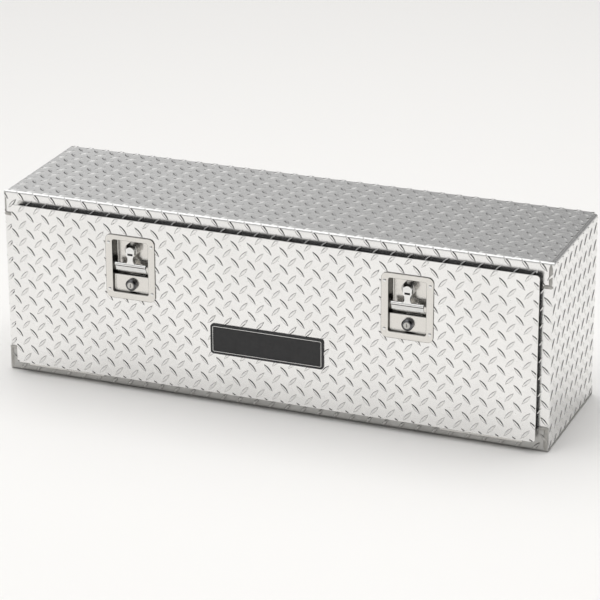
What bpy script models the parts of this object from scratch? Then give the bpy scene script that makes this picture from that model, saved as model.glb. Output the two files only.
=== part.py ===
"""Truck tool box: an aluminium tread-plate chest with a drop-down front door, modelled piece by piece.

Sizes below are in millimetres in the box's own frame: x from its middle, y back from the plane of the front
flanges, z up from its underside. They become metres, with the origin under the middle of the whole part.
"""

from math import atan2, cos, pi, radians, sin

import bmesh
import bpy
from mathutils import Vector

# Driving dimensions of the body
WIDTH, DEPTH, HEIGHT = 1219, 320, 412
PROUD = 20  # how far the rivet heads on the door stand in front of the front flanges
SHEET = 2.5
BEND = 4  # radius of a bend, at the middle of the sheet
GAP = 0.3  # between pieces that touch
FLANGE = 38  # width of the front flanges, part of it hidden by the door
TAB = 52  # height of the corner tabs on the top and bottom sheets
SILL = 48  # height of the lower edge of the front opening
LIP = 15  # depth of the header's return lip
FOLD = 22  # width of the inner folds on the end panels

# Door
DOOR_HALF, DOOR_LOW, DOOR_HIGH = 585.5, 25.6, 387
DOOR_FACE = -16
SEAL_WIDTH, SEAL_LOW, SEAL_HIGH = 12, 34, 384
LINER_HALF, LINER_LOW, LINER_HIGH, LINER_BACK, LINER_SHEET = 553, 56, 366, 15, 1.5
HINGE_X, HINGE_LENGTH, HINGE_Y, HINGE_Z, KNUCKLE = 469, 177, -8, 21.5, 3.8

# Latches
LATCH_X, LATCH_Z = 308.75, 281
PAN_WIDTH, PAN_HEIGHT, PAN_SHEET, PAN_FACE = 113, 142, 1.2, -18.5
DISH_HALF, DISH_TOP, DISH_LOW = 41, 341, 224
LEDGE_TOP, LEDGE_FACE = 261, -10
DISH_FLOOR, WELL_FLOOR, WELL_RADIUS, WELL_Z = 2.5, 9, 24, 281
PIVOT_Y, PIVOT_Z = -9.5, 319.5
HUB_RADIUS, FORK_HALF = 14.5, 10.3  # the hub is a fork, with the handle's head between its ears
HEAD_RADIUS, BAR_HALF = 9.6, 35
LOCK_Z, BARREL_RADIUS, BORE_RADIUS, TONGUE_LENGTH = 242, 12.5, 7.3, 31
CAM_FRONT, CAM_TIP = 15.4, 386
RIVET_X, RIVET_Z = 49, 52.5

# Door stays: each arm turns on the door and its slot slides over a stud on the end panel
STAY_REACH = 150  # from the hinge axis to the arm's pivot, and to the stud
STAY_LEAN, STUD_LEAN = 3.8, 43.8  # degrees from upright, door shut
STAY_X, STAY_SHEET, STAY_HALF = 558, 3, 10

MM = 0.001
FRONT = -(DEPTH - PROUD) / 2


def clear_scene():
    for obj in list(bpy.data.objects):
        bpy.data.objects.remove(obj)


def material(name, color, roughness, metallic):
    made = bpy.data.materials.new(name)
    made.use_nodes = True
    shader = made.node_tree.nodes["Principled BSDF"]
    shader.inputs["Base Color"].default_value = (*color, 1)
    shader.inputs["Roughness"].default_value = roughness
    shader.inputs["Metallic"].default_value = metallic
    return made


clear_scene()
TREAD = material("tread_aluminium", (0.80, 0.80, 0.79), 0.32, 1)
PLAIN = material("plain_aluminium", (0.74, 0.74, 0.74), 0.40, 1)
STAINLESS = material("stainless", (0.70, 0.69, 0.67), 0.26, 1)
CHROME = material("chrome", (0.82, 0.82, 0.82), 0.10, 1)
ZINC = material("zinc_steel", (0.60, 0.61, 0.62), 0.38, 1)
RUBBER = material("black_rubber", (0.015, 0.015, 0.016), 0.75, 0)
BADGE = material("badge_black", (0.035, 0.035, 0.038), 0.45, 0)
BRASS = material("lock_core", (0.72, 0.70, 0.64), 0.30, 1)


def place(x, y, z):
    return Vector((x, y + FRONT, z)) * MM


def piece(name, bm, look, origin=(0, -FRONT, 0), smooth=False):
    """An object made from bm, whose points are millimetres in the box's frame, with its origin at a point there."""
    bmesh.ops.recalc_face_normals(bm, faces=bm.faces)
    mesh = bpy.data.meshes.new(name)
    start = place(*origin)
    for vert in bm.verts:
        vert.co = place(*vert.co) - start
    bm.to_mesh(mesh)
    bm.free()
    mesh.materials.append(look)
    if smooth:
        mesh.shade_smooth()
        mesh.set_sharp_from_angle(angle=radians(35))
    made = bpy.data.objects.new(name, mesh)
    made.location = start
    bpy.context.collection.objects.link(made)
    return made


def combine(target, bm, operation):
    """Adds or cuts a shape with a Boolean whose tool stays in the file, hidden."""
    tool = piece(f"{target.name}_tool_{len(target.modifiers)}", bm, target.data.materials[0])
    tool.hide_render = True
    tool.display_type = "WIRE"
    boolean = target.modifiers.new(tool.name, "BOOLEAN")
    boolean.operation = operation
    boolean.object = tool


def cut(target, *shapes):
    for bm in shapes:
        combine(target, bm, "DIFFERENCE")


def weld(target, *shapes):
    for bm in shapes:
        combine(target, bm, "UNION")


def prism(points, axis, low, high):
    """A closed solid: an outline in the other two axes, in x, y, z order, pushed along axis from low to high."""
    bm = bmesh.new()

    def at(point, along):
        co = list(point)
        co.insert("xyz".index(axis), along)
        return co

    face = bm.faces.new([bm.verts.new(at(p, low)) for p in points])
    grown = bmesh.ops.extrude_face_region(bm, geom=[face])
    moved = [v for v in grown["geom"] if isinstance(v, bmesh.types.BMVert)]
    shift = [0, 0, 0]
    shift["xyz".index(axis)] = high - low
    bmesh.ops.translate(bm, verts=moved, vec=shift)
    bmesh.ops.recalc_face_normals(bm, faces=bm.faces)
    return bm


def slab(x, y, z):
    """A box between pairs of limits."""
    return prism([(x[0], y[0]), (x[1], y[0]), (x[1], y[1]), (x[0], y[1])], "z", *z)


def arc(centre, radius, start, end, steps):
    turn = [radians(start + (end - start) * i / steps) for i in range(steps + 1)]
    return [(centre[0] + radius * cos(a), centre[1] + radius * sin(a)) for a in turn]


def round_rect(low, high, radius, steps=5):
    corners = (
        ((high[0] - radius, high[1] - radius), 0),
        ((low[0] + radius, high[1] - radius), 90),
        ((low[0] + radius, low[1] + radius), 180),
        ((high[0] - radius, low[1] + radius), 270),
    )
    return [p for centre, start in corners for p in arc(centre, radius, start, start + 90, steps)]


def rod(centre, radius, axis, low, high, steps=24):
    return prism(arc(centre, radius, 0, 360 - 360 / steps, steps - 1), axis, low, high)


def together(*shapes):
    """Several separate solids as one cutter."""
    joined = bmesh.new()
    for bm in shapes:
        mesh = bpy.data.meshes.new("scratch")
        bm.to_mesh(mesh)
        bm.free()
        joined.from_mesh(mesh)
        bpy.data.meshes.remove(mesh)
    return joined


def bent(path, axis, low, high, sheet=SHEET, bend=BEND):
    """A folded sheet: path is its middle line in the other two axes, with every corner bent to one radius."""
    points = [Vector(p) for p in path]
    line = [points[0]]
    for before, corner, after in zip(points, points[1:], points[2:]):
        back, on = (before - corner).normalized(), (after - corner).normalized()
        centre = corner + (back + on) * bend
        start, end = -on * bend, -back * bend
        for i in range(6):
            part = i / 5 * pi / 2
            line.append(centre + start * cos(part) + end * sin(part))
    line.append(points[-1])
    left, right = [], []
    for i, point in enumerate(line):
        along = (line[min(i + 1, len(line) - 1)] - line[max(i - 1, 0)]).normalized()
        across = Vector((-along.y, along.x)) * sheet / 2
        left.append(point + across)
        right.append(point - across)
    return prism([tuple(p) for p in left + right[::-1]], axis, low, high)


def ring(outer, inner, axis, low, high):
    """A closed band between two outlines that have as many points."""
    bm = bmesh.new()
    index = "xyz".index(axis)
    loops = []
    for outline, along in ((outer, low), (inner, low), (inner, high), (outer, high)):
        loop = []
        for point in outline:
            co = list(point)
            co.insert(index, along)
            loop.append(bm.verts.new(co))
        loops.append(loop)
    count = len(outer)
    for first, second in zip(loops, loops[1:] + loops[:1]):
        for i in range(count):
            j = (i + 1) % count
            bm.faces.new((first[i], first[j], second[j], second[i]))
    return bm


def framed(low, high, radius, width, y_low, y_high):
    """A rounded rectangular band facing forward, width wide inside its outer outline."""
    inner = round_rect((low[0] + width, low[1] + width), (high[0] - width, high[1] - width), radius / 2)
    return ring(round_rect(low, high, radius), inner, "y", y_low, y_high)


def pivot(name, x, y, z, parent=None):
    empty = bpy.data.objects.new(name, None)
    empty.location = place(x, y, z)
    empty.empty_display_size = 0.02
    bpy.context.collection.objects.link(empty)
    if parent:
        bpy.context.view_layer.update()
        empty.parent = parent
        empty.matrix_parent_inverse = parent.matrix_world.inverted()
    return empty


def carry(parent, *pieces):
    bpy.context.view_layer.update()
    for obj in pieces:
        obj.parent = parent
        obj.matrix_parent_inverse = parent.matrix_world.inverted()


# Body of the box -----------------------------------------------------------------------------------------

HALF = WIDTH / 2
MID = SHEET / 2
OPEN_HALF = HALF - FLANGE


def top_sheet():
    path = [(DEPTH - MID, HEIGHT - 20), (DEPTH - MID, HEIGHT - MID), (MID, HEIGHT - MID), (MID, HEIGHT - TAB)]
    sheet = piece("top_sheet", bent(path, "x", -HALF, HALF), TREAD)
    header = HEIGHT - FLANGE
    cut(sheet, slab((-OPEN_HALF, OPEN_HALF), (-5, 10), (header - 60, header)))
    for side in (-1, 1):
        cut(sheet, slab(sorted((side * (HALF - 7), side * (HALF + 9))), (5, DEPTH + 9), (HEIGHT - 40, HEIGHT + 9)))
    weld(sheet, slab((2.5 - OPEN_HALF, OPEN_HALF - 2.5), (MID, LIP), (header, header + SHEET)))


def bottom_sheet():
    path = [(MID, TAB), (MID, MID), (DEPTH - MID, MID), (DEPTH - MID, 20)]
    sheet = piece("bottom_sheet", bent(path, "x", -HALF, HALF), TREAD)
    cut(sheet, slab((-OPEN_HALF, OPEN_HALF), (-5, 10), (SILL, SILL + 60)))


def back_sheet():
    y_high = DEPTH - SHEET - GAP
    piece("back_sheet", slab((1.5 - HALF, HALF - 1.5), (y_high - SHEET, y_high), (8, HEIGHT - 8)), TREAD)


def end_panel(name, side):
    wall, rear = side * (HALF - MID), DEPTH - 2 * (SHEET + GAP) - MID
    fold, lift = side * (HALF - FOLD), SHEET + GAP + MID
    plan = [(fold, rear), (wall, rear), (wall, MID), (side * OPEN_HALF, MID)]
    low, high = TAB + GAP, HEIGHT - TAB - GAP
    panel = piece(name, bent(plan, "z", low, high), TREAD)
    section = [(fold, HEIGHT - lift), (wall, HEIGHT - lift), (wall, lift), (fold, lift)]
    weld(panel, bent(section, "y", SHEET + GAP, rear + MID))
    corner = sorted((side * (HALF - 60), side * (HALF + 9)))
    for z in ((HEIGHT - 7, HEIGHT), (0, 7)):
        cut(panel, slab(corner, (0, 5.7), z))


def door_seal():
    low, high = (0.5 - DOOR_HALF, SEAL_LOW), (DOOR_HALF - 0.5, SEAL_HIGH)
    band = framed(low, high, 7, SEAL_WIDTH, DOOR_FACE + SHEET + GAP, -GAP)
    piece("door_seal", band, RUBBER)


# Door ----------------------------------------------------------------------------------------------------


def door_skin():
    outline = round_rect((-DOOR_HALF, DOOR_LOW), (DOOR_HALF, DOOR_HIGH), 6)
    skin = piece("door_skin", prism(outline, "y", DOOR_FACE, DOOR_FACE + SHEET), TREAD)
    for x in (-LATCH_X, LATCH_X):
        around = DISH_HALF + PAN_SHEET + 0.4
        hole = slab((x - around, x + around), (-30, 0), (DISH_LOW - 1.6, DISH_TOP + 1.6))
        cut(skin, together(hole, *rivet_holes(x)))
    return skin


def door_liner():
    """A shallow pan behind the skin, open towards it, with a flange all round and a hole for each latch shaft."""
    y_front = DOOR_FACE + SHEET + GAP
    outer = slab((-LINER_HALF, LINER_HALF), (y_front, LINER_BACK), (LINER_LOW, LINER_HIGH))
    liner = piece("door_liner", outer, PLAIN)
    weld(liner, slab((-565, 565), (y_front, y_front + LINER_SHEET), (48, 372)))
    inside = LINER_HALF - LINER_SHEET
    low, high = LINER_LOW + LINER_SHEET, LINER_HIGH - LINER_SHEET
    cut(liner, slab((-inside, inside), (y_front - 9, LINER_BACK - LINER_SHEET), (low, high)))
    cut(liner, together(*(rod((x, PIVOT_Z), 8, "y", 0, 30) for x in (-LATCH_X, LATCH_X))))
    return liner


def badge_plate():
    """Its face is sunk inside a raised rim."""
    outline = round_rect((-127, 116), (127, 183), 7)
    badge = piece("badge_plate", prism(outline, "y", DOOR_FACE - 2.8, DOOR_FACE - GAP), BADGE)
    cut(badge, prism(round_rect((-120, 123), (120, 176), 3), "y", DOOR_FACE - 9, DOOR_FACE - 2))
    return badge


def hinge(name, side):
    """A two-knuckle butt hinge on a pin, its leaves hidden in the gap behind the door. Returns the door's leaf."""
    middle, half = side * HINGE_X, HINGE_LENGTH / 2
    for_door = sorted((middle + side * GAP, middle + side * half))
    for_box = sorted((middle - side * half, middle - side * GAP))
    centre = (HINGE_Y, HINGE_Z)

    def leaf(part, limits, y, z):
        made = piece(part, rod(centre, KNUCKLE, "x", *limits), STAINLESS)
        weld(made, slab(limits, y, z))
        bore = rod(centre, 2.2, "x", limits[0] - 5, limits[1] + 5, 16)
        return made, bore

    y_front = DOOR_FACE + SHEET + GAP
    on_door, bore = leaf(f"{name}_door_leaf", for_door, (y_front, y_front + 2.5), (HINGE_Z, SEAL_LOW - 0.5))
    cut(on_door, bore)
    on_box, bore = leaf(f"{name}_fixed_leaf", for_box, (-3, -GAP), (HINGE_Z - 2, SEAL_LOW - 0.5))
    weld(on_box, slab(for_box, (HINGE_Y + 2, -1), (HINGE_Z - 2, HINGE_Z + 2)))
    cut(on_box, bore)
    piece(f"{name}_pin", rod(centre, 1.9, "x", middle - half, middle + half, 16), ZINC, smooth=True)
    return on_door


# Latches -------------------------------------------------------------------------------------------------


def rivet_places(x):
    return [(x + i * RIVET_X, LATCH_Z + j * RIVET_Z) for i in (-1, 1) for j in (-1, 1)]


def rivet_holes(x):
    return [rod(at, 2.4, "y", -30, -5, 12) for at in rivet_places(x)]


def latch_pan(name, x):
    """A stamped dish: a deep upper bay with a round finger well, and a shallow ledge below it for the lock."""
    half, back = DISH_HALF + PAN_SHEET, DISH_FLOOR + PAN_SHEET
    low, high = LATCH_Z - PAN_HEIGHT / 2, LATCH_Z + PAN_HEIGHT / 2
    outline = round_rect((x - PAN_WIDTH / 2, low), (x + PAN_WIDTH / 2, high), 13)
    pan = piece(name, prism(outline, "y", PAN_FACE, PAN_FACE + PAN_SHEET), STAINLESS)
    weld(
        pan,
        slab((x - half, x + half), (PAN_FACE + 0.2, back), (LEDGE_TOP - PAN_SHEET, DISH_TOP + PAN_SHEET)),
        slab((x - half, x + half), (PAN_FACE + 0.2, LEDGE_FACE + PAN_SHEET), (DISH_LOW - PAN_SHEET, LEDGE_TOP)),
        rod((x, WELL_Z - 1), WELL_RADIUS - 6 + PAN_SHEET, "y", 0, WELL_FLOOR + PAN_SHEET, 32),
    )
    inside = (x - DISH_HALF, x + DISH_HALF)
    cut(
        pan,
        slab(inside, (-30, DISH_FLOOR), (LEDGE_TOP, DISH_TOP)),
        slab(inside, (-30, LEDGE_FACE), (DISH_LOW, LEDGE_TOP + 1)),
        rod((x, WELL_Z - 1), WELL_RADIUS - 6, "y", 0, WELL_FLOOR, 32),
    )
    tongue_slot = slab((x - 7, x + 28), (-7.4, -4.4), (LEDGE_TOP - 5, LEDGE_TOP + 5))
    barrel_hole = rod((x, LOCK_Z), BARREL_RADIUS + GAP, "y", -15, 0)
    holes = [rod((x, PIVOT_Z), 6.4, "y", -9, 9), barrel_hole, tongue_slot]
    cut(pan, together(*holes, *rivet_holes(x)))
    return pan


def pan_gasket(name, x):
    low = (x - PAN_WIDTH / 2 + 0.5, LATCH_Z - PAN_HEIGHT / 2 + 0.5)
    high = (x + PAN_WIDTH / 2 - 0.5, LATCH_Z + PAN_HEIGHT / 2 - 0.5)
    y_low, y_high = PAN_FACE + PAN_SHEET + GAP, DOOR_FACE - GAP
    inner = round_rect((x - 43.5, DISH_LOW - 2.5), (x + 43.5, DISH_TOP + 2.5), 3)
    gasket = piece(name, ring(round_rect(low, high, 12.5), inner, "y", y_low, y_high), RUBBER)
    cut(gasket, together(*rivet_holes(x)))
    return gasket


def rivet(name, at):
    """A domed head on the pan, a shank through pan, gasket and skin, and a flat set end behind the skin."""
    bm = bmesh.new()
    head, skin_back = PAN_FACE - GAP, DOOR_FACE + SHEET + GAP
    profile = [(0, head - 1.2), (1.9, head - 1), (3.3, head - 0.5), (3.8, head), (2.1, head)]
    profile += [(2.1, skin_back), (3.2, skin_back), (3.2, skin_back + 1.4), (0, skin_back + 1.4)]
    loop = [bm.verts.new((at[0] + r, y, at[1])) for r, y in profile]
    edges = [bm.edges.new(pair) for pair in zip(loop, loop[1:])]
    centre = (at[0], 0, at[1])
    bmesh.ops.spin(bm, geom=loop + edges, cent=centre, axis=(0, 1, 0), angle=2 * pi, steps=12)
    bmesh.ops.remove_doubles(bm, verts=bm.verts, dist=0.001)
    return piece(name, bm, STAINLESS, smooth=True)


def lock_barrel(name, x):
    """A turned sleeve with a sloping front edge."""
    bm = bmesh.new()
    front, back, slope = PAN_FACE - 1.1, LEDGE_FACE + 2.4, 3
    profile = [(BORE_RADIUS, front), (BARREL_RADIUS - slope, front), (BARREL_RADIUS, front + slope)]
    profile += [(BARREL_RADIUS, back), (BORE_RADIUS, back)]
    loop = [bm.verts.new((x + r, y, LOCK_Z)) for r, y in profile]
    edges = [bm.edges.new(pair) for pair in zip(loop, loop[1:] + loop[:1])]
    bmesh.ops.spin(bm, geom=loop + edges, cent=(x, 0, LOCK_Z), axis=(0, 1, 0), angle=2 * pi, steps=32)
    bmesh.ops.remove_doubles(bm, verts=bm.verts, dist=0.001)
    return piece(name, bm, CHROME, smooth=True)


def lock_plug(name, x):
    plug = piece(name, rod((x, LOCK_Z), 7, "y", PAN_FACE - 1.2, -4.2, 28), BRASS, (x, -10, LOCK_Z), smooth=True)
    cut(plug, slab((x - 0.8, x + 0.8), (-40, PAN_FACE + 4), (LOCK_Z - 4.5, LOCK_Z + 4.5)))
    return plug


def lock_tongue(name, x):
    """Lies sideways when unlocked; a quarter-turn brings its tip up behind the handle's bar."""
    tongue = piece(name, rod((x, LOCK_Z), 10, "y", -7, -4.9, 24), ZINC, (x, -10, LOCK_Z))
    weld(tongue, slab((x, x + TONGUE_LENGTH), (-7, -4.9), (LOCK_Z - 4.5, LOCK_Z + 4.5)))
    cut(tongue, rod((x, LOCK_Z), BORE_RADIUS, "y", -20, 10, 28))
    return tongue


def latch_hub(name, x):
    """A round fork whose two ears hold the handle, on a shaft that runs back through the pan and the door's liner."""
    centre, base_front = (x, PIVOT_Z), -1.3
    hub = piece(name, rod(centre, HUB_RADIUS, "y", -12.8, DISH_FLOOR - GAP, 32), STAINLESS, (x, 0, PIVOT_Z))
    weld(hub, rod(centre, 6, "y", 0, 26, 8))
    fork = slab((x - FORK_HALF, x + FORK_HALF), (-30, base_front), (PIVOT_Z - 20, PIVOT_Z + 20))
    cut(hub, fork)
    cut(hub, rod((PIVOT_Y, PIVOT_Z), 1.9, "x", x - 20, x + 20, 16))
    return hub


def latch_cam(name, x):
    back = CAM_FRONT + 3
    cam = piece(name, rod((x, PIVOT_Z), 12, "y", CAM_FRONT, back, 24), ZINC, (x, 0, PIVOT_Z))
    weld(cam, prism(round_rect((x - 9, PIVOT_Z), (x + 9, CAM_TIP), 5), "y", CAM_FRONT, back))
    cut(cam, rod((x, PIVOT_Z), 6.35, "y", 0, 40, 8))
    return cam


def cam_nut(name, x):
    nut = piece(name, rod((x, PIVOT_Z), 10.5, "y", CAM_FRONT + 3.3, CAM_FRONT + 9, 6), ZINC, (x, 0, PIVOT_Z))
    cut(nut, rod((x, PIVOT_Z), 6.35, "y", 0, 40, 8))
    return nut


def pivot_pin(name, x):
    centre = (PIVOT_Y, PIVOT_Z)
    return piece(name, rod(centre, 1.6, "x", x - 13.8, x + 13.8, 16), ZINC, (x, PIVOT_Y, PIVOT_Z), smooth=True)


def handle(name, x):
    """A T handle: a round head with a slot, a waisted stem, a rolled bar, and a catch lip for the lock."""
    origin = (x, PIVOT_Y, PIVOT_Z)
    stem_front, stem_back = PAN_FACE + 0.6, PAN_FACE + 3
    head_z = PIVOT_Z - 2
    right_side = [(HEAD_RADIUS - 0.4, head_z - 8), (6.2, head_z - 14), (6, head_z - 21)]
    right_side += [(7.6, head_z - 25), (11, head_z - 28.5), (17, head_z - 30.5)]
    outline = arc((x, head_z), HEAD_RADIUS, 0, 180, 14)
    outline += [(x - across, z) for across, z in right_side]
    outline += [(x + across, z) for across, z in reversed(right_side)]
    made = piece(name, prism(outline, "y", stem_front, stem_back), STAINLESS, origin)
    roll = arc((PAN_FACE + 3.3, PIVOT_Z - 32.5), 3.8, 0, 345, 23)
    apron = [(PAN_FACE + 0.4, PIVOT_Z - 33), (PAN_FACE + 2.6, PIVOT_Z - 33)]
    apron += [(PAN_FACE + 7, PIVOT_Z - 46.5), (PAN_FACE + 5, PIVOT_Z - 46.5)]
    knuckle = arc((PIVOT_Y, PIVOT_Z), 3.9, -90, 90, 8)
    knuckle += [(stem_front + 1, PIVOT_Z + 3.9), (stem_front + 1, PIVOT_Z - 3.9)]
    web = slab((x - 5, x + 5), (PAN_FACE + 4, -2.4), (PIVOT_Z - 36, PIVOT_Z - 34))
    lip = slab((x - 5, x + 5), (-4.2, -2.4), (LEDGE_TOP + 8, PIVOT_Z - 34))
    weld(
        made,
        prism(roll, "x", x - BAR_HALF, x + BAR_HALF),
        prism(apron, "x", x - BAR_HALF + 0.4, x + BAR_HALF - 0.4),
        prism(knuckle, "x", x - HEAD_RADIUS, x - 3.5),
        prism(knuckle, "x", x + 3.5, x + HEAD_RADIUS),
        web,
        lip,
    )
    slot = slab((x - 6, x + 6), (-40, stem_back + 5), (PIVOT_Z - 10.8, PIVOT_Z - 6.2))
    cut(made, rod((PIVOT_Y, PIVOT_Z), 1.9, "x", x - 20, x + 20, 16), slot)
    return made


def latch(side_name, x, door_pivot):
    fixed = [latch_pan(f"latch_pan_{side_name}", x), pan_gasket(f"pan_gasket_{side_name}", x)]
    fixed += [rivet(f"pan_rivet_{side_name}_{i + 1}", at) for i, at in enumerate(rivet_places(x))]
    fixed += [lock_barrel(f"lock_barrel_{side_name}", x)]
    carry(door_pivot, *fixed)
    lock_pivot = pivot(f"lock_pivot_{side_name}", x, -10, LOCK_Z, door_pivot)
    carry(lock_pivot, lock_plug(f"lock_plug_{side_name}", x), lock_tongue(f"lock_tongue_{side_name}", x))
    shaft_pivot = pivot(f"shaft_pivot_{side_name}", x, 0, PIVOT_Z, door_pivot)
    turning = [latch_hub(f"latch_hub_{side_name}", x), latch_cam(f"latch_cam_{side_name}", x)]
    turning += [cam_nut(f"cam_nut_{side_name}", x), pivot_pin(f"handle_pin_{side_name}", x)]
    carry(shaft_pivot, *turning)
    carry(shaft_pivot, handle(f"t_handle_{side_name}", x))


# Door stays ----------------------------------------------------------------------------------------------


def from_hinge(lean):
    return HINGE_Y + STAY_REACH * sin(radians(lean)), HINGE_Z + STAY_REACH * cos(radians(lean))


def stay(side_name, side, door_pivot):
    pin, stud = from_hinge(STAY_LEAN), from_hinge(STUD_LEAN)
    shut = 2 * STAY_REACH * sin(radians(STUD_LEAN - STAY_LEAN) / 2)
    wide = 2 * STAY_REACH * sin(radians(STUD_LEAN - STAY_LEAN + 90) / 2)
    x_low, x_high = STAY_X, STAY_X + STAY_SHEET

    def along_x(*limits):
        return sorted(side * limit for limit in limits)

    def stadium(radius, start, end):
        """An outline round two points of the arm's middle line, start and end millimetres from its pivot."""
        lean = atan2(stud[1] - pin[1], stud[0] - pin[0])
        turn = lean * 180 / pi
        first = (pin[0] + start * cos(lean), pin[1] + start * sin(lean))
        last = (pin[0] + end * cos(lean), pin[1] + end * sin(lean))
        return arc(last, radius, turn - 90, turn + 90, 8) + arc(first, radius, turn + 90, turn + 270, 8)

    arm_origin = (side * (x_low + x_high) / 2, *pin)
    arm = piece(f"stay_arm_{side_name}", prism(stadium(STAY_HALF, 0, wide + 13), "x", *along_x(x_low, x_high)), ZINC, arm_origin)
    slot = prism(stadium(4.6, shut - 5, wide + 3), "x", *along_x(x_low - 9, x_high + 9))
    cut(arm, together(slot, rod(pin, 4.3, "x", *along_x(x_low - 9, x_high + 9))))

    pin_steps = ((4, LINER_HALF + GAP, x_high + 4), (7, LINER_HALF + GAP, x_low - GAP), (7, x_high + GAP, x_high + 3))
    on_door = piece(f"stay_pin_{side_name}", rod(pin, 4, "x", *along_x(*pin_steps[0][1:])), ZINC)
    weld(on_door, *(rod(pin, radius, "x", *along_x(a, b)) for radius, a, b in pin_steps[1:]))

    wall = HALF - SHEET - GAP
    stud_steps = ((12, wall - 3, wall), (7, x_high + GAP, wall - 1), (8, x_low - 3, x_low - GAP))
    on_box = piece(f"stay_stud_{side_name}", rod(stud, 4, "x", *along_x(x_low - 2, wall - 1)), ZINC)
    weld(on_box, *(rod(stud, radius, "x", *along_x(a, b)) for radius, a, b in stud_steps))

    carry(door_pivot, on_door, arm)


def build():
    top_sheet()
    bottom_sheet()
    back_sheet()
    end_panel("end_panel_left", -1)
    end_panel("end_panel_right", 1)
    door_seal()
    door_pivot = pivot("door_pivot", 0, HINGE_Y, HINGE_Z)
    carry(door_pivot, door_skin(), door_liner(), badge_plate())
    for side_name, side in (("left", -1), ("right", 1)):
        carry(door_pivot, hinge(f"hinge_{side_name}", side))
        latch(side_name, side * LATCH_X, door_pivot)
        stay(side_name, side, door_pivot)


build()
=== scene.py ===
"""Looks for the truck tool box: raised tread lugs, welds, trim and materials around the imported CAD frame."""

from math import atan, copysign, cos, pi, radians, sin, sqrt

import bmesh
import bpy
from mathutils import Matrix, Quaternion, Vector

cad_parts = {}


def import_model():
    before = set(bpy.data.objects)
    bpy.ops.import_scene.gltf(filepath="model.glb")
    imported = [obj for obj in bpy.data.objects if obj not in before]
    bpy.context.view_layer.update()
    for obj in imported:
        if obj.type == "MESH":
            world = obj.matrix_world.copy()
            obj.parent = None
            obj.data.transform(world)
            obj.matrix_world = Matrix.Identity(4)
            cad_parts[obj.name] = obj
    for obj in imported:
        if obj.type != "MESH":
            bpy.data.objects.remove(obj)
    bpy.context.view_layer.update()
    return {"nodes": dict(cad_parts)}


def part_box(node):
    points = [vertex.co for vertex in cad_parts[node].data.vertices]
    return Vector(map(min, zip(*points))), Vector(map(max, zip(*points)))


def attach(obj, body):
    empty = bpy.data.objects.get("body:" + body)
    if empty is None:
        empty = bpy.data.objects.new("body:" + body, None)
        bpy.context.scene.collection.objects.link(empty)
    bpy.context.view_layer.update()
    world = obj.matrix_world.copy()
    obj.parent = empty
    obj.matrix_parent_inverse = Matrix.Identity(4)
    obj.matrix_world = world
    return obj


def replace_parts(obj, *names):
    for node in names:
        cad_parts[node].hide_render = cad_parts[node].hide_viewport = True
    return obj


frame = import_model()

MM = 0.001
OUTER_BEND = 5.25 * MM  # outside radius of the sheets' folds
FOLD_STEPS = 8  # straight steps in each quarter-circle of a fold, and of the seal's corners
FLANGE = 38 * MM  # width of the front flanges
TAB = 52 * MM  # height of the corner tabs
REAR_TURN = 20 * MM  # height of the top and bottom sheets' turns behind the back sheet
DOOR_OVERLAP = 13 * MM  # how far the door covers the jambs

# Tread lugs. Two rows of them lean to either side of upright, half a pitch apart
LUG_LENGTH, LUG_WIDTH, LUG_HEIGHT, LUG_LEAN = 27.5 * MM, 6.6 * MM, 1.4 * MM, 48
LUG_SIDE = 7  # points along each side of a lug
LUG_TIP = 1.6  # how much further a ring's inset reaches at the tips than at the sides
# Inset in mm and share of the height. Between the second and third rings lies the crease at the foot, coloured
# dark as painted shade
LUG_RINGS = ((-0.4, -0.1), (-0.4, 0.03), (0, 0.06), (1.6, 0.96), (2.2, 1))
SHADED_CREASE_RING = 1
DOOR_PITCH, TOP_PITCH, END_PITCH = (36.3 * MM, 38.0 * MM), (37.4 * MM, 38.2 * MM), (35.9 * MM, 37.4 * MM)

# The studio room: a grey, and patches (direction, inner and outer angle in degrees, added brightness)
ROOM_GREY = 0.44
ROOM = (
    ((0.62, -0.47, 0.62), 18, 38, -0.42),  # dark, in one flank of the lugs on the door
    ((0.91, 0.13, 0.36), 5, 22, -0.30),  # dark, in the lugs of the right end
    ((-0.34, -0.37, 0.86), 6, 24, 0.6),  # bright, in the fold along the top's front edge
    ((-0.86, 0.40, 0.32), 12, 32, -0.38),  # dark, in one flank of the lugs on the top
    ((-0.50, 0.80, 0.33), 10, 40, 0.11),  # light, in the top's left
    ((-0.02, 0.95, 0.32), 4, 26, -0.27),  # dark, in the top's right
    ((-0.25, 0.25, 0.93), 20, 50, 0.75),  # bright, overhead
)


# Materials -----------------------------------------------------------------------------------------------


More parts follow.
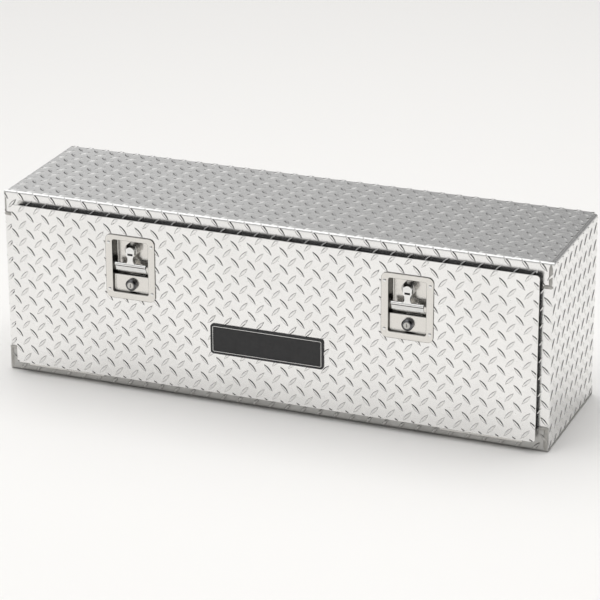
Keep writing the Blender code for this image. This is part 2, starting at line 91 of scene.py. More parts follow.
class Look:
    """A Principled material with its own noise-driven roughness, tint and bump."""

    def __init__(self, name, color, roughness, metallic=0.0):
        self.material = bpy.data.materials.new(name)
        self.material.use_nodes = True
        self.tree = self.material.node_tree
        self.shader = self.tree.nodes["Principled BSDF"]
        self.shader.inputs["Base Color"].default_value = (*color, 1)
        self.shader.inputs["Roughness"].default_value = roughness
        self.shader.inputs["Metallic"].default_value = metallic
        self.where = self.tree.nodes.new("ShaderNodeTexCoord").outputs["Object"]

    def noise(self, scale, detail, stretch=(1, 1, 1)):
        mapping = self.tree.nodes.new("ShaderNodeMapping")
        mapping.inputs["Scale"].default_value = stretch
        self.tree.links.new(self.where, mapping.inputs["Vector"])
        noise = self.tree.nodes.new("ShaderNodeTexNoise")
        noise.inputs["Scale"].default_value = scale
        noise.inputs["Detail"].default_value = detail
        self.tree.links.new(mapping.outputs["Vector"], noise.inputs["Vector"])
        return noise.outputs["Fac"]

    def ramp(self, source, low, high, start=0.3, end=0.7):
        """Maps a value from start to end, which is a noise's middle part, onto low to high."""
        spread = self.tree.nodes.new("ShaderNodeMapRange")
        spread.inputs["From Min"].default_value = start
        spread.inputs["From Max"].default_value = end
        spread.inputs["To Min"].default_value = low
        spread.inputs["To Max"].default_value = high
        self.tree.links.new(source, spread.inputs["Value"])
        return spread.outputs["Result"]

    def vary_roughness(self, source, low, high):
        self.tree.links.new(self.ramp(source, low, high), self.shader.inputs["Roughness"])

    def vary_color(self, source, dark, light, start=0.3, end=0.7):
        mix = self.tree.nodes.new("ShaderNodeMix")
        mix.data_type = "RGBA"
        self.tree.links.new(self.ramp(source, 0, 1, start, end), mix.inputs["Factor"])
        for socket, color in (("A", dark), ("B", light)):
            next(i for i in mix.inputs if i.name == socket and i.type == "RGBA").default_value = (*color, 1)
        result = next(o for o in mix.outputs if o.type == "RGBA")
        self.tree.links.new(result, self.shader.inputs["Base Color"])

    def bump(self, source, strength, depth):
        bump = self.tree.nodes.new("ShaderNodeBump")
        bump.inputs["Strength"].default_value = strength
        bump.inputs["Distance"].default_value = depth
        before = self.shader.inputs["Normal"].links
        if before:
            self.tree.links.new(before[0].from_socket, bump.inputs["Normal"])
        self.tree.links.new(source, bump.inputs["Height"])
        self.tree.links.new(bump.outputs["Normal"], self.shader.inputs["Normal"])


def tread_metal(name, light, dark, rough):
    """Bright rolled aluminium: soft cloudy tone, fine streaks along the rolling direction, faint dents."""
    look = Look(name, light, 0.3, 1.0)
    look.vary_color(look.noise(9, 4), dark, light)
    look.vary_roughness(look.noise(60, 3, (1, 6, 6)), *rough)
    look.bump(look.noise(26, 2), 0.25, 0.6 * MM)
    look.bump(look.noise(900, 2, (0.12, 1, 1)), 0.12, 0.05 * MM)
    return look.material


def brushed(name, light, dark, rough, grain):
    """Satin metal with fine brush lines along the grain."""
    look = Look(name, light, sum(rough) / 2, 1.0)
    look.vary_color(look.noise(30, 3), dark, light)
    look.vary_roughness(look.noise(500, 2, grain), *rough)
    look.bump(look.noise(1400, 2, grain), 0.15, 0.03 * MM)
    return look.material


def plated(name, light, dark, rough):
    """Smooth metal with a slightly uneven tone and shine."""
    look = Look(name, light, sum(rough) / 2, 1.0)
    look.vary_color(look.noise(120, 4), dark, light)
    look.vary_roughness(look.noise(240, 3), *rough)
    return look.material


def dull(name, light, dark, rough, bump_scale, bump_depth):
    """Rubber, paint and moulded plastic."""
    look = Look(name, light, sum(rough) / 2)
    look.vary_color(look.noise(80, 4), dark, light)
    look.vary_roughness(look.noise(150, 3), *rough)
    look.bump(look.noise(bump_scale, 3), 0.3, bump_depth)
    return look.material


def shaded_drawn(name, light, dark, rough, grain):
    """Brushed metal with painted shade: its walls and folds, which don't face the front, are coloured dark."""
    look = Look(name, light, sum(rough) / 2, 1.0)
    normal = look.tree.nodes.new("ShaderNodeTexCoord").outputs["Normal"]
    split = look.tree.nodes.new("ShaderNodeSeparateXYZ")
    look.tree.links.new(normal, split.inputs["Vector"])
    facing = look.tree.nodes.new("ShaderNodeMath")
    facing.operation = "ABSOLUTE"
    look.tree.links.new(split.outputs["Y"], facing.inputs[0])
    # Painted shade: the colour goes dark where a face turns away from the front, on the dish's walls and folds
    look.vary_color(facing.outputs["Value"], dark, light, 0.45, 0.97)
    look.vary_roughness(look.noise(500, 2, grain), *rough)
    look.bump(look.noise(1400, 2, grain), 0.15, 0.03 * MM)
    return look.material


ALONG_X, ALONG_Z = (0.06, 1, 1), (1, 1, 0.1)  # brush lines: a noise stretched along one axis

TREAD = tread_metal("tread_aluminium", (0.915, 0.91, 0.90), (0.86, 0.855, 0.845), (0.2, 0.28))
# A darker copy of the tread for the bottom sheet: painted shade
SHADED_TREAD = tread_metal("tread_aluminium_painted_shade", (0.56, 0.555, 0.54), (0.45, 0.445, 0.43), (0.3, 0.42))
PLAIN = tread_metal("plain_aluminium", (0.80, 0.80, 0.80), (0.72, 0.72, 0.72), (0.34, 0.46))
LUGS = plated("tread_lugs", (0.90, 0.895, 0.885), (0.80, 0.795, 0.785), (0.14, 0.2))
# A darker copy of the lugs for the bottom sheet: painted shade
SHADED_LUGS = plated("tread_lugs_painted_shade", (0.62, 0.615, 0.60), (0.48, 0.475, 0.46), (0.24, 0.34))
# Painted shade for the lugs' feet: a dark band where the crease's shade falls
CREASE_SHADE = plated("lug_crease_painted_shade", (0.42, 0.415, 0.405), (0.28, 0.278, 0.27), (0.4, 0.55))
WELD = plated("weld_bead", (0.56, 0.55, 0.525), (0.40, 0.39, 0.37), (0.42, 0.58))
STAINLESS = brushed("stainless", (0.80, 0.785, 0.755), (0.72, 0.705, 0.68), (0.22, 0.32), ALONG_X)
# The latch dishes' stainless, with painted shade on its walls and folds
DRAWN_SHADED = shaded_drawn("drawn_stainless_painted_shade", (0.755, 0.735, 0.70), (0.11, 0.107, 0.10), (0.18, 0.26), ALONG_X)
BRIGHT = plated("polished_stainless", (0.86, 0.86, 0.85), (0.78, 0.78, 0.77), (0.10, 0.18))
FORGED = plated("forged_hub", (0.50, 0.49, 0.47), (0.34, 0.335, 0.32), (0.16, 0.26))
ZINC = plated("zinc_plate", (0.62, 0.63, 0.65), (0.50, 0.51, 0.52), (0.30, 0.44))
# Dark chrome for the lock barrels. The same material stands as painted shade in the strips under the handles'
# rolls
DARK_CHROME_AND_SHADE = plated("dark_chrome_and_painted_shade", (0.15, 0.15, 0.155), (0.10, 0.10, 0.105), (0.16, 0.26))
LOCK_FACE = brushed("lock_face", (0.62, 0.61, 0.59), (0.52, 0.51, 0.49), (0.28, 0.38), ALONG_Z)
RUBBER = dull("black_rubber", (0.012, 0.012, 0.013), (0.006, 0.006, 0.007), (0.62, 0.8), 700, 0.1 * MM)
BADGE = dull("badge_black", (0.026, 0.026, 0.027), (0.021, 0.021, 0.022), (0.5, 0.62), 1500, 0.03 * MM)

# The CAD nodes' looks by the start of their names. The last that fits holds, and the rest are zinc plated
NODE_LOOKS = {
    "top_sheet": TREAD,
    # The bottom sheet takes the darker copy of the tread, as painted shade
    "bottom_sheet": SHADED_TREAD,
    "back_sheet": TREAD,
    "end_panel": TREAD,
    "door_skin": TREAD,
    "door_liner": PLAIN,
    "t_handle": BRIGHT,
    "latch_hub": FORGED,
    "pan_rivet": BRIGHT,
    "pan_gasket": RUBBER,
    "hinge": STAINLESS,
    "hinge_left_pin": ZINC,
    "hinge_right_pin": ZINC,
    "lock_barrel": DARK_CHROME_AND_SHADE,
    "lock_plug": LOCK_FACE,
    "badge_plate": BADGE,
}
# These stay flat-shaded: their curves are broad folds, or have their own bevels
FLAT_SHADED = ("top_sheet", "bottom_sheet", "back_sheet", "end_panel", "door_skin", "t_handle")
SMOOTH_ANGLE = 28  # sharper edges than this stay sharp on the other nodes

# How far each kind of node's edges are rounded
SOFT_EDGES = {
    "latch_hub": 0.7 * MM,
    "t_handle": 0.5 * MM,
    "badge_plate": 0.5 * MM,
    "door_skin": 0.5 * MM,
    "door_liner": 0.5 * MM,
}
BEVEL_ANGLE, FLAT_ANGLE = 50, 1  # edges above the first are rounded, and edges below the second merged


def soften(obj, name):
    """Merges a node's flat faces and rounds the edges between them."""
    for start, width in SOFT_EDGES.items():
        if not name.startswith(start):
            continue
        flat = obj.modifiers.new("flat", "DECIMATE")
        flat.decimate_type = "DISSOLVE"
        flat.angle_limit = radians(FLAT_ANGLE)
        bevel = obj.modifiers.new("soft", "BEVEL")
        bevel.width = width
        bevel.segments = 3
        bevel.limit_method = "ANGLE"
        bevel.angle_limit = radians(BEVEL_ANGLE)
        bevel.use_clamp_overlap = True


def smooth_group():
    """A node group that shades a mesh smooth, apart from its sharp edges."""
    group = bpy.data.node_groups.new("smooth_by_angle", "GeometryNodeTree")
    group.interface.new_socket("Geometry", in_out="INPUT", socket_type="NodeSocketGeometry")
    group.interface.new_socket("Geometry", in_out="OUTPUT", socket_type="NodeSocketGeometry")
    start, end = group.nodes.new("NodeGroupInput"), group.nodes.new("NodeGroupOutput")
    weld = group.nodes.new("GeometryNodeMergeByDistance")
    weld.inputs["Distance"].default_value = 0.002 * MM
    faces = group.nodes.new("GeometryNodeSetShadeSmooth")
    faces.domain = "FACE"
    faces.inputs["Shade Smooth"].default_value = True
    edges = group.nodes.new("GeometryNodeSetShadeSmooth")
    edges.domain = "EDGE"
    edges.inputs["Shade Smooth"].default_value = False
    angle = group.nodes.new("GeometryNodeInputMeshEdgeAngle")
    sharp = group.nodes.new("FunctionNodeCompare")
    sharp.data_type, sharp.operation = "FLOAT", "GREATER_THAN"
    sharp.inputs[1].default_value = radians(SMOOTH_ANGLE)
    group.links.new(start.outputs[0], weld.inputs["Geometry"])
    group.links.new(weld.outputs["Geometry"], faces.inputs["Geometry"])
    group.links.new(faces.outputs["Geometry"], edges.inputs["Geometry"])
    group.links.new(angle.outputs["Unsigned Angle"], sharp.inputs[0])
    group.links.new(sharp.outputs["Result"], edges.inputs["Selection"])
    group.links.new(edges.outputs["Geometry"], end.inputs[0])
    return group


def dress_nodes():
    """Gives each CAD node its material, and softens its edges and curves so that they catch the light."""
    smooth = smooth_group()
    for name, obj in frame["nodes"].items():
        look = [ZINC] + [chosen for start, chosen in NODE_LOOKS.items() if name.startswith(start)]
        soften(obj, name)
        if not name.startswith(FLAT_SHADED):
            obj.modifiers.new("smooth", "NODES").node_group = smooth
        obj.data.materials.clear()
        obj.data.materials.append(look[-1])
        for polygon in obj.data.polygons:
            polygon.material_index = 0


# Mesh helpers --------------------------------------------------------------------------------------------


def bridge(bm, first, second):
    """Joins two closed loops of the same number of points with a band of faces."""
    ahead = list(zip(first[1:] + first[:1], second[1:] + second[:1]))
    return [bm.faces.new((a, a_next, b_next, b)) for a, b, (a_next, b_next) in zip(first, second, ahead)]


def add_piece(name, bm, look, body, smooth_angle=40, closed=True):
    """Makes an object of a mesh, riding on a body. A closed mesh has its normals turned outward."""
    mesh = bpy.data.meshes.new(name)
    if closed:
        bmesh.ops.recalc_face_normals(bm, faces=bm.faces)
    bm.to_mesh(mesh)
    bm.free()
    mesh.materials.append(look)
    mesh.shade_smooth()
    mesh.set_sharp_from_angle(angle=radians(smooth_angle))
    obj = bpy.data.objects.new(name, mesh)
    bpy.context.collection.objects.link(obj)
    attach(obj, body)
    return obj


def folded(points, radius, side):
    """A folded sheet's outer face: a map from a distance along it to a place and a normal, and its length."""
    corners = [Vector(p) for p in points]
    line = [corners[0]]
    for before, corner, after in zip(corners, corners[1:], corners[2:]):
        back, on = (before - corner).normalized(), (after - corner).normalized()
        centre = corner + (back + on) * radius
        for i in range(FOLD_STEPS + 1):
            turn = i / FOLD_STEPS * pi / 2
            line.append(centre - on * radius * cos(turn) - back * radius * sin(turn))
    line.append(corners[-1])
    marks = [0.0]
    for first, second in zip(line, line[1:]):
        marks.append(marks[-1] + (second - first).length)

    def at(distance):
        i = 0
        while i < len(marks) - 2 and distance > marks[i + 1]:
            i += 1
        along = (line[i + 1] - line[i]).normalized()
        normal = Vector((-along.y, along.x)) * side
        return line[i] + along * (distance - marks[i]), normal

    return at, marks[-1]


def lug(bm, centre, lean):
    """One closed lens-shaped lug in sheet coordinates: along, up and out of the sheet."""
    turn = Matrix.Rotation(radians(lean), 2)
    loops = []
    for inset, rise in LUG_RINGS:
        length, width = LUG_LENGTH / 2 - inset * LUG_TIP * MM, LUG_WIDTH / 2 - inset * MM
        points = []
        for side in (1, -1):
            for i in range(LUG_SIDE):
                u = side * (1 - 2 * i / LUG_SIDE)
                points.append(turn @ Vector((u * length, side * width * (1 - u * u))))
        loops.append([bm.verts.new((centre[0] + p.x, centre[1] + p.y, rise * LUG_HEIGHT)) for p in points])
    for ring, (first, second) in enumerate(zip(loops, loops[1:])):
        for face in bridge(bm, first, second):
            # The band at the foot takes the dark material of painted shade
            face.material_index = 1 if ring == SHADED_CREASE_RING else 0
    bm.faces.new(loops[0][::-1])
    bm.faces.new(loops[-1])


def lugs_in(region, pitch, start, gaps=()):
    """The lugs of one rectangle of sheet, trimmed to its edges. Two leans alternate, half a pitch apart."""
    (low_s, high_s), (low_t, high_t) = region
    bm = bmesh.new()
    reach = LUG_LENGTH / 2
    for lean, shift in ((-LUG_LEAN, 0), (LUG_LEAN, 0.5)):
        first_i = int((low_s - start[0]) / pitch[0] - 2)
        first_j = int((low_t - start[1]) / pitch[1] - 2)
        for i in range(first_i, int((high_s - start[0]) / pitch[0]) + 2):
            for j in range(first_j, int((high_t - start[1]) / pitch[1]) + 2):
                s, t = start[0] + (i + shift) * pitch[0], start[1] + (j + shift) * pitch[1]
                if not (low_s - reach < s < high_s + reach and low_t - reach < t < high_t + reach):
                    continue
                if any(a < s < b and c < t < d for (a, b), (c, d) in gaps):
                    continue
                lug(bm, (s, t), lean)
    for axis, limit, way in ((0, low_s, -1), (0, high_s, 1), (1, low_t, -1), (1, high_t, 1)):
        at, normal = [0, 0, 0], [0, 0, 0]
        at[axis], normal[axis] = limit, way
        geom = bm.verts[:] + bm.edges[:] + bm.faces[:]
        made = bmesh.ops.bisect_plane(bm, geom=geom, plane_co=at, plane_no=normal, clear_outer=True)
        edges = [e for e in made["geom_cut"] if isinstance(e, bmesh.types.BMEdge)]
        bmesh.ops.holes_fill(bm, edges=edges)
    return bm


def tread(name, body, surface, regions, pitch, start, gaps=(), look=LUGS):
    """Lugs over one folded or flat sheet. surface turns sheet coordinates into a place and a normal."""
    joined = bmesh.new()
    for region in regions:
        bm = lugs_in(region, pitch, start, gaps)
        for vert in bm.verts:
            spot, normal = surface(vert.co.x, vert.co.y)
            vert.co = spot + normal * vert.co.z
        scratch = bpy.data.meshes.new("scratch")
        bm.to_mesh(scratch)
        bm.free()
        joined.from_mesh(scratch)
        bpy.data.meshes.remove(scratch)
    made = add_piece(name, joined, look, body, 30)
    made.data.materials.append(CREASE_SHADE)
    return made


# Tread on each sheet -------------------------------------------------------------------------------------

top_low, top_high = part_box("top_sheet")
skin_low, skin_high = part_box("door_skin")
back_low, back_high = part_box("back_sheet")
LEFT, RIGHT = top_low.x, top_high.x
FRONT, REAR = top_low.y, top_high.y
TOP, BOTTOM = top_high.z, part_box("bottom_sheet")[0].z
OPEN_HALF = RIGHT - FLANGE


def pan_and_badge_gaps():
    """Where the door's lugs are left out: the latch dishes and the middle of the badge."""
    gaps = []
    for side in ("left", "right"):
        low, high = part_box(f"latch_pan_{side}")
        edge = 5 * MM
        gaps.append(((low.x + edge, high.x - edge), (low.z + edge, high.z - edge)))
    low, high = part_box("badge_plate")
    edge = 12 * MM
    gaps.append(((low.x + edge, high.x - edge), (low.z + edge, high.z - edge)))
    return gaps


def door_tread():
    """Lugs over the door's skin."""
    edge = 1.2 * MM
    region = ((skin_low.x + edge, skin_high.x - edge), (skin_low.z + edge, skin_high.z - edge))

    def surface(x, z):
        return Vector((x, skin_low.y, z)), Vector((0, -1, 0))

    start = (LEFT + 31 * MM, TOP - 49 * MM)
    tread("door_tread", "door", surface, [region], DOOR_PITCH, start, pan_and_badge_gaps())


def top_tread():
    """Lugs over the top sheet: its header and corner tabs, its top and its rear downturn."""
    corners = [(FRONT, TOP - TAB), (FRONT, TOP), (REAR, TOP), (REAR, TOP - REAR_TURN)]
    path, path_length = folded(corners, OUTER_BEND, 1)

    def surface(x, s):
        spot, normal = path(s)
        return Vector((x, spot.x, spot.y)), Vector((0, normal.x, normal.y))

    edge, tip, inset = 1 * MM, 1.5 * MM, 8 * MM
    header = TAB - FLANGE + 0.5 * MM
    bend = TAB - OUTER_BEND + 2 * MM
    regions = [
        ((LEFT + inset, RIGHT - inset), (bend, path_length - edge)),
        ((LEFT + edge, RIGHT - edge), (header, bend)),
        ((LEFT + edge, -OPEN_HALF), (tip, header)),
        ((OPEN_HALF, RIGHT - edge), (tip, header)),
    ]
    tread("top_tread", "box", surface, regions, TOP_PITCH, (LEFT + 37.5 * MM, TAB - 9 * MM))


def bottom_tread():
    """Lugs over the bottom sheet's sill, corner tabs and rear upturn. The underside has none."""
    corners = [(FRONT, TAB), (FRONT, BOTTOM), (REAR, BOTTOM), (REAR, REAR_TURN)]
    path, path_length = folded(corners, OUTER_BEND, -1)

    def surface(x, s):
        spot, normal = path(s)
        return Vector((x, spot.x, spot.y)), Vector((0, normal.x, normal.y))

    edge, tip = 1 * MM, 1.5 * MM
    sill = TAB - 26 * MM
    beside_door = OPEN_HALF + DOOR_OVERLAP
    regions = [
        ((LEFT + edge, RIGHT - edge), (sill, TAB - OUTER_BEND)),
        ((LEFT + edge, -beside_door), (tip, sill)),
        ((beside_door, RIGHT - edge), (tip, sill)),
        ((LEFT + edge, RIGHT - edge), (path_length - REAR_TURN + OUTER_BEND, path_length - edge)),
    ]
    start = (LEFT + 31 * MM, TAB - 10 * MM)
    # The sill's lugs take the darker copy of the lugs, as painted shade
    tread("bottom_tread", "box", surface, regions, DOOR_PITCH, start, look=SHADED_LUGS)


def end_tread(name, side):
    """Lugs over one end panel and its front jamb."""
    corners = [(OPEN_HALF, FRONT), (RIGHT, FRONT), (RIGHT, back_low.y)]
    path, path_length = folded(corners, OUTER_BEND, -1)

    def surface(s, z):
        spot, normal = path(s)
        return Vector((side * spot.x, spot.y, z)), Vector((side * normal.x, normal.y, 0))

    edge = 1.5 * MM
    around = FLANGE + 3 * MM
    regions = [
        ((DOOR_OVERLAP, around), (TAB + edge, TOP - TAB - edge)),
        ((around, path_length - edge), (BOTTOM + 8 * MM, TOP - 8 * MM)),
    ]
    tread(name, "box", surface, regions, END_PITCH, (FLANGE - 9 * MM, TAB + 14 * MM))


def back_tread():
    """Lugs over the back sheet, between the rear turns of the top and bottom sheets."""
    side, turn = 2 * MM, REAR_TURN + 1 * MM
    region = ((back_low.x + side, back_high.x - side), (BOTTOM + turn, TOP - turn))

    def surface(x, z):
        return Vector((x, back_high.y, z)), Vector((0, 1, 0))

    tread("back_tread", "box", surface, [region], TOP_PITCH, (LEFT + 20 * MM, TOP - 30 * MM))


# Latch pans ----------------------------------------------------------------------------------------------

# The stamping's measures, which put its walls where the CAD pan has them. Heights are above the underside,
# depths behind the pan's face, and the face and the tongue's slot are measured from the box's front flanges
PAN_FACE, PAN_SHEET, PAN_CORNER = -18.5 * MM, 1.2 * MM, 13 * MM
DISH_HALF, DISH_LOW, DISH_TOP = 42.4 * MM, 222.7 * MM, 342.4 * MM
LEDGE_TOP, LEDGE_DEPTH, BAY_DEPTH = 260.4 * MM, 8.5 * MM, 21 * MM
WELL_Z, WELL_RADIUS, WELL_DEPTH = 280 * MM, 18 * MM, 6 * MM
SLOT_X, SLOT_Y = (-7 * MM, 28 * MM), (-8.2 * MM, -3.4 * MM)
SLOT_Z = (LEDGE_TOP - 0.2 * MM, LEDGE_TOP + 4.2 * MM)

# Its corner and fold radii and the walls' slope, and the mesh's steps in the folds and on the flats
DISH_CORNER, OUTER_FOLD, INNER_FOLD, WALL_SLOPE = 6 * MM, 1.7 * MM, 2.2 * MM, 8
WELL_LIP, EDGE_ROLL = 3 * MM, 0.3 * MM
FINE_STEP, COARSE_STEP, FOLD_ZONE = 0.3 * MM, 1.4 * MM, 7 * MM


def wall_depth(inside, full):
    """Depth of the dish at a distance inside its edge: a rounded edge, a steep wall and a rounded foot."""
    lean = atan(WALL_SLOPE)
    edge, foot = OUTER_FOLD * sin(lean), INNER_FOLD * sin(lean)
    edge_drop, foot_rise = OUTER_FOLD * (1 - cos(lean)), INNER_FOLD * (1 - cos(lean))
    straight = max(0, full - edge_drop - foot_rise)
    width = edge + straight / WALL_SLOPE + foot
    if inside <= 0:
        return 0
    if inside >= width:
        return full
    if inside < edge:
        return min(full, OUTER_FOLD - sqrt(OUTER_FOLD**2 - inside**2))
    if inside > width - foot:
        left = width - inside
        return full - (INNER_FOLD - sqrt(INNER_FOLD**2 - left**2))
    return edge_drop + (inside - edge) * WALL_SLOPE


def pan_depth(x, z):
    """How far the pan lies behind its flange's face at a place measured from the latch's middle line."""
    half_height = (DISH_TOP - DISH_LOW) / 2
    across = abs(x) - (DISH_HALF - DISH_CORNER)
    along = abs(z - (DISH_TOP + DISH_LOW) / 2) - (half_height - DISH_CORNER)
    outside = Vector((max(across, 0), max(along, 0))).length + min(max(across, along), 0)
    full = LEDGE_DEPTH + wall_depth(z - LEDGE_TOP, BAY_DEPTH - LEDGE_DEPTH)
    depth = wall_depth(DISH_CORNER - outside, full)
    from_well = Vector((x, z - WELL_Z)).length
    share = min(1, max(0, (WELL_RADIUS - from_well) / WELL_LIP))
    if z > LEDGE_TOP + DISH_CORNER:
        depth += WELL_DEPTH * share * share * (3 - 2 * share)
    return depth


def grid_lines(low, high, fine):
    """Places from low to high, close together inside each stretch of fine."""
    lines, at = [low], low
    while at < high:
        step = FINE_STEP if any(a <= at < b for a, b in fine) else COARSE_STEP
        at = min([at + step] + [a for a, b in fine if at < a < at + step])
        if high - at < FINE_STEP:
            at = high
        lines.append(at)
    return lines


def stamped_pan(side):
    """The latch's dish, stamped from one sheet with rounded folds. It stands for the plain CAD pan."""
    low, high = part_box(f"latch_pan_{side}")
    middle, half = (low.x + high.x) / 2, (high.x - low.x) / 2
    x_fine = ((-DISH_HALF, FOLD_ZONE - DISH_HALF), (DISH_HALF - FOLD_ZONE, DISH_HALF))
    z_fine = [(start, start + FOLD_ZONE) for start in (DISH_LOW, LEDGE_TOP, DISH_TOP - FOLD_ZONE)]
    columns = grid_lines(-half, half, x_fine)
    rows = grid_lines(low.z, high.z, z_fine)
    z_middle, z_half = (low.z + high.z) / 2, (high.z - low.z) / 2
    bm = bmesh.new()
    grid = []
    for z in rows:
        line = []
        for x in columns:
            y = FRONT + PAN_FACE + pan_depth(x, z)
            if x in (columns[0], columns[-1]) or z in (rows[0], rows[-1]):
                y += EDGE_ROLL
            u = (abs(x) - (half - PAN_CORNER)) / PAN_CORNER
            v = (abs(z - z_middle) - (z_half - PAN_CORNER)) / PAN_CORNER
            across, up = x, z - z_middle
            if u > 0 and v > 0:
                across = copysign(half - PAN_CORNER + PAN_CORNER * u * sqrt(1 - v * v / 2), x)
                up = copysign(z_half - PAN_CORNER + PAN_CORNER * v * sqrt(1 - u * u / 2), up)
            line.append(bm.verts.new((middle + across, y, z_middle + up)))
        grid.append(line)
    for lower, upper in zip(grid, grid[1:]):
        for i in range(len(lower) - 1):
            corners = (lower[i], lower[i + 1], upper[i + 1], upper[i])
            spot = sum((c.co for c in corners), Vector()) / 4
            in_slot = SLOT_X[0] < spot.x - middle < SLOT_X[1] and SLOT_Y[0] < spot.y - FRONT < SLOT_Y[1]
            if not (in_slot and SLOT_Z[0] < spot.z < SLOT_Z[1]):
                bm.faces.new(corners)
    bmesh.ops.recalc_face_normals(bm, faces=bm.faces)
    if sum(f.normal.y for f in bm.faces) > 0:
        bmesh.ops.reverse_faces(bm, faces=bm.faces)
    # The dish's material paints shade on its walls and folds
    obj = add_piece(f"stamped_pan_{side}", bm, DRAWN_SHADED, "door", smooth_angle=180, closed=False)
    thick = obj.modifiers.new("sheet", "SOLIDIFY")
    thick.thickness = PAN_SHEET
    thick.offset = -1
    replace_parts(obj, f"latch_pan_{side}")


# The black pad behind the slot in a handle's stem is painted shade, a dark piece where only shade lies: its place
# is measured from the front flanges and the handle's top
SLOT_SHADE_SIZE, SLOT_SHADE_CORNER = Vector((14.4, 0.8, 8)) * MM, 2 * MM
SLOT_SHADE_FACE, SLOT_SHADE_BELOW = -15 * MM, 16 * MM

# The corners of the fillet under a handle's roll, in mm behind the pan's face and below the handle's top
GROOVE = ((0.7, -42.9), (1.55, -44.3), (2.6, -44.3), (2.6, -42.9))
GROOVE_INSET = 0.6 * MM


def stem_slot_shade(side):
    """A black pad of painted shade behind the slot in the handle's stem, where only shade lies."""
    low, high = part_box(f"t_handle_{side}")
    middle, top = (low.x + high.x) / 2, high.z
    bm = bmesh.new()
    bmesh.ops.create_cube(bm, size=1)
    place = Vector((middle, FRONT + SLOT_SHADE_FACE, top - SLOT_SHADE_BELOW))
    for vert in bm.verts:
        vert.co = vert.co * SLOT_SHADE_SIZE + place
    corners = [e for e in bm.edges if abs(e.verts[0].co.y - e.verts[1].co.y) > SLOT_SHADE_SIZE.y / 2]
    bmesh.ops.bevel(bm, geom=corners, offset=SLOT_SHADE_CORNER, segments=4, affect="EDGES")
    # Black rubber that stands for the shade seen through the slot
    add_piece(f"stem_slot_shade_{side}", bm, RUBBER, f"handle_{side}")


def bar_groove_shade(side):
    """A dark strip of painted shade along the fillet where the handle's roll meets the apron under it."""
    low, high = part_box(f"t_handle_{side}")
    bm = bmesh.new()
    ends = []
    for x in (low.x + GROOVE_INSET, high.x - GROOVE_INSET):
        ends.append([bm.verts.new((x, FRONT + PAN_FACE + y * MM, high.z + z * MM)) for y, z in GROOVE])
    bridge(bm, *ends)
    bm.faces.new(ends[0])
    bm.faces.new(ends[1])
    # Its dark material is painted shade in the crease
    add_piece(f"bar_groove_shade_{side}", bm, DARK_CHROME_AND_SHADE, f"handle_{side}")


# Seal ----------------------------------------------------------------------------------------------------

SEAL_CORNER, BULB_HALF, BULB_SIDES = 10 * MM, 6 * MM, 20


def bulb_seal():
    """The door's seal as a rubber bulb. It stands for the plain CAD band."""
    low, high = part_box("door_seal")
    depth, middle = (high.y - low.y) / 2, (high.y + low.y) / 2
    inset = BULB_HALF + SEAL_CORNER
    left, right, lower, upper = low.x + inset, high.x - inset, low.z + inset, high.z - inset
    bm = bmesh.new()
    loops = []
    for x, z, start in ((right, upper, 0), (left, upper, 90), (left, lower, 180), (right, lower, 270)):
        for step in range(FOLD_STEPS + 1):
            turn = radians(start + 90 * step / FOLD_STEPS)
            out = Vector((cos(turn), 0, sin(turn)))
            loop = []
            for side in range(BULB_SIDES):
                around = 2 * pi * side / BULB_SIDES
                spot = Vector((x, middle + depth * sin(around), z))
                loop.append(bm.verts.new(spot + out * (SEAL_CORNER + BULB_HALF * cos(around))))
            loops.append(loop)
    for first, second in zip(loops, loops[1:] + loops[:1]):
        bridge(bm, first, second)
    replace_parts(add_piece("bulb_seal", bm, RUBBER, "box"), "door_seal")


# Welds and trim ------------------------------------------------------------------------------------------

SEAM_WELD, RIPPLE, WELD_STEP = 9 * MM, 2.4 * MM, 0.5 * MM
WELD_HEIGHT = 0.35  # a bead's height over half its width
WELD_SIDES = 8


def bead(name, start, end, width, out):
    """A weld bead: overlapping ripples along a line, flattened against the sheet that faces out."""
    start, end, out = Vector(start), Vector(end), Vector(out)
    along = (end - start).normalized()
    across = along.cross(out)
    length = (end - start).length
    steps = max(8, int(length / WELD_STEP))
    bm = bmesh.new()
    loops = []
    for i in range(steps + 1):
        share = i / steps
        swell = 0.85 + 0.15 * abs(sin(share * length / RIPPLE * pi))
        taper = min(1, 4 * min(share, 1 - share) + 0.35)
        reach = width / 2 * swell * taper
        loop = []
        for k in range(WELD_SIDES + 1):
            turn = pi * k / WELD_SIDES
            spot = start + along * length * share + across * reach * cos(turn)
            loop.append(bm.verts.new(spot + out * reach * WELD_HEIGHT * sin(turn)))
        loops.append(loop)
    for first, second in zip(loops, loops[1:]):
        bridge(bm, first, second)
    bm.faces.new(loops[0][::-1])
    bm.faces.new(loops[-1])
    add_piece(name, bm, WELD, "box", 60)


# The width of each corner tab's upright bead, laid by hand
CORNER_WELDS = {
    ("left", "upper"): 3.6 * MM,
    ("left", "lower"): 6 * MM,
    ("right", "upper"): 8 * MM,
    ("right", "lower"): 9 * MM,
}


def welds():
    """Beads across each corner tab's seam, and down its outer corner."""
    forward = (0, -1, 0)
    tip, seam_length, corner_gap = 4 * MM, 24 * MM, 1.5 * MM
    for side_name, side in (("left", -1), ("right", 1)):
        for end_name, seam, end in (("upper", TOP - TAB, TOP - tip), ("lower", BOTTOM + TAB, BOTTOM + tip)):
            inner, outer = (side * (RIGHT - seam_length), FRONT, seam), (side * RIGHT, FRONT, seam)
            bead(f"weld_{end_name}_{side_name}", inner, outer, SEAM_WELD, forward)
            width = CORNER_WELDS[side_name, end_name]
            x = side * (RIGHT - corner_gap - width / 2)
            bead(f"corner_weld_{end_name}_{side_name}", (x, FRONT, seam), (x, FRONT, end), width, forward)


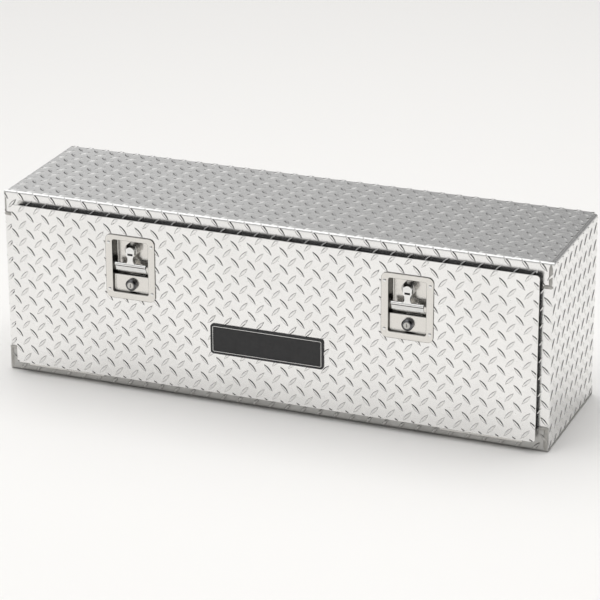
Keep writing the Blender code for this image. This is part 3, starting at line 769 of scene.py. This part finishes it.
def badge_border():
    """A thin bright line on the badge's raised rim."""
    low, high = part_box("badge_plate")
    inset, width, corner, corner_steps = 4.9 * MM, 0.9 * MM, 3 * MM, 4
    y_front, y_back = low.y - 0.15 * MM, low.y + 0.3 * MM
    bm = bmesh.new()
    loops = []
    for grow, y in ((0, y_back), (0, y_front), (width, y_front), (width, y_back)):
        radius = corner - grow
        left, right = low.x + inset + corner, high.x - inset - corner
        lower, upper = low.z + inset + corner, high.z - inset - corner
        loop = []
        for x, z, start in ((right, upper, 0), (left, upper, 90), (left, lower, 180), (right, lower, 270)):
            for i in range(corner_steps + 1):
                turn = radians(start + 90 * i / corner_steps)
                loop.append(bm.verts.new((x + radius * cos(turn), y, z + radius * sin(turn))))
        loops.append(loop)
    for first, second in zip(loops, loops[1:] + loops[:1]):
        bridge(bm, first, second)
    add_piece("badge_border", bm, BRIGHT, "door")


# Stage ---------------------------------------------------------------------------------------------------


def camera():
    """A long lens from the front right and above, level but for a slight roll."""
    data = bpy.data.cameras.new("camera")
    data.sensor_width, data.lens = 36, 170.1
    data.clip_end = 60
    obj = bpy.data.objects.new("camera", data)
    azimuth, elevation, roll = radians(21.71), radians(21.68), radians(-0.22)
    forward = Vector((-sin(azimuth) * cos(elevation), cos(azimuth) * cos(elevation), -sin(elevation)))
    obj.location = (2.081, FRONT - 5.056, 2.420)
    obj.rotation_mode = "QUATERNION"
    obj.rotation_quaternion = forward.to_track_quat("-Z", "Y") @ Quaternion((0, 0, 1), roll)
    bpy.context.collection.objects.link(obj)
    bpy.context.scene.camera = obj


def floor():
    """A wide matt floor, a hair below the underside so that the two don't lie in one plane."""
    reach, gap = 30, 0.2 * MM
    corners = [(-reach, -reach), (reach, -reach), (reach, reach), (-reach, reach)]
    mesh = bpy.data.meshes.new("floor")
    mesh.from_pydata([(x, y, BOTTOM - gap) for x, y in corners], [], [(0, 1, 2, 3)])
    mesh.materials.append(Look("floor", (0.88, 0.868, 0.85), 0.9).material)
    obj = bpy.data.objects.new("floor", mesh)
    bpy.context.collection.objects.link(obj)


def light():
    """One big soft light overhead, facing straight down. The metal reflects the room and not the light itself."""
    data = bpy.data.lights.new("overhead", "AREA")
    data.shape = "RECTANGLE"
    data.size, data.size_y, data.energy = 7, 6.5, 188
    obj = bpy.data.objects.new("overhead", data)
    obj.location = (0.2, -0.4, 5)
    obj.visible_glossy = False
    bpy.context.collection.objects.link(obj)


def world():
    """The plain grey studio room with its light and dark patches, which the metal reflects."""
    made = bpy.data.worlds.new("studio")
    made.use_nodes = True
    tree = made.node_tree
    direction = tree.nodes.new("ShaderNodeTexCoord").outputs["Generated"]
    total = None
    for toward, inner, outer, amount in ROOM:
        dot = tree.nodes.new("ShaderNodeVectorMath")
        dot.operation = "DOT_PRODUCT"
        tree.links.new(direction, dot.inputs[0])
        dot.inputs[1].default_value = Vector(toward).normalized()
        mask = tree.nodes.new("ShaderNodeMapRange")
        mask.interpolation_type = "SMOOTHSTEP"
        mask.inputs["From Min"].default_value = cos(radians(outer))
        mask.inputs["From Max"].default_value = cos(radians(inner))
        mask.inputs["To Min"].default_value = 0 if total else ROOM_GREY
        mask.inputs["To Max"].default_value = amount if total else ROOM_GREY + amount
        tree.links.new(dot.outputs["Value"], mask.inputs["Value"])
        if total is None:
            total = mask.outputs["Result"]
            continue
        add = tree.nodes.new("ShaderNodeMath")
        add.operation = "ADD"
        tree.links.new(total, add.inputs[0])
        tree.links.new(mask.outputs["Result"], add.inputs[1])
        total = add.outputs["Value"]
    tree.links.new(total, tree.nodes["Background"].inputs["Strength"])
    tree.nodes["Background"].inputs["Color"].default_value = (1, 1, 1, 1)
    bpy.context.scene.world = made


dress_nodes()
door_tread()
top_tread()
bottom_tread()
end_tread("end_tread_left", -1)
end_tread("end_tread_right", 1)
back_tread()
welds()
badge_border()
bulb_seal()
for side_name in ("left", "right"):
    stamped_pan(side_name)
    stem_slot_shade(side_name)
    bar_groove_shade(side_name)
camera()
floor()
world()
light()
bpy.context.scene.view_settings.view_transform = "Standard"
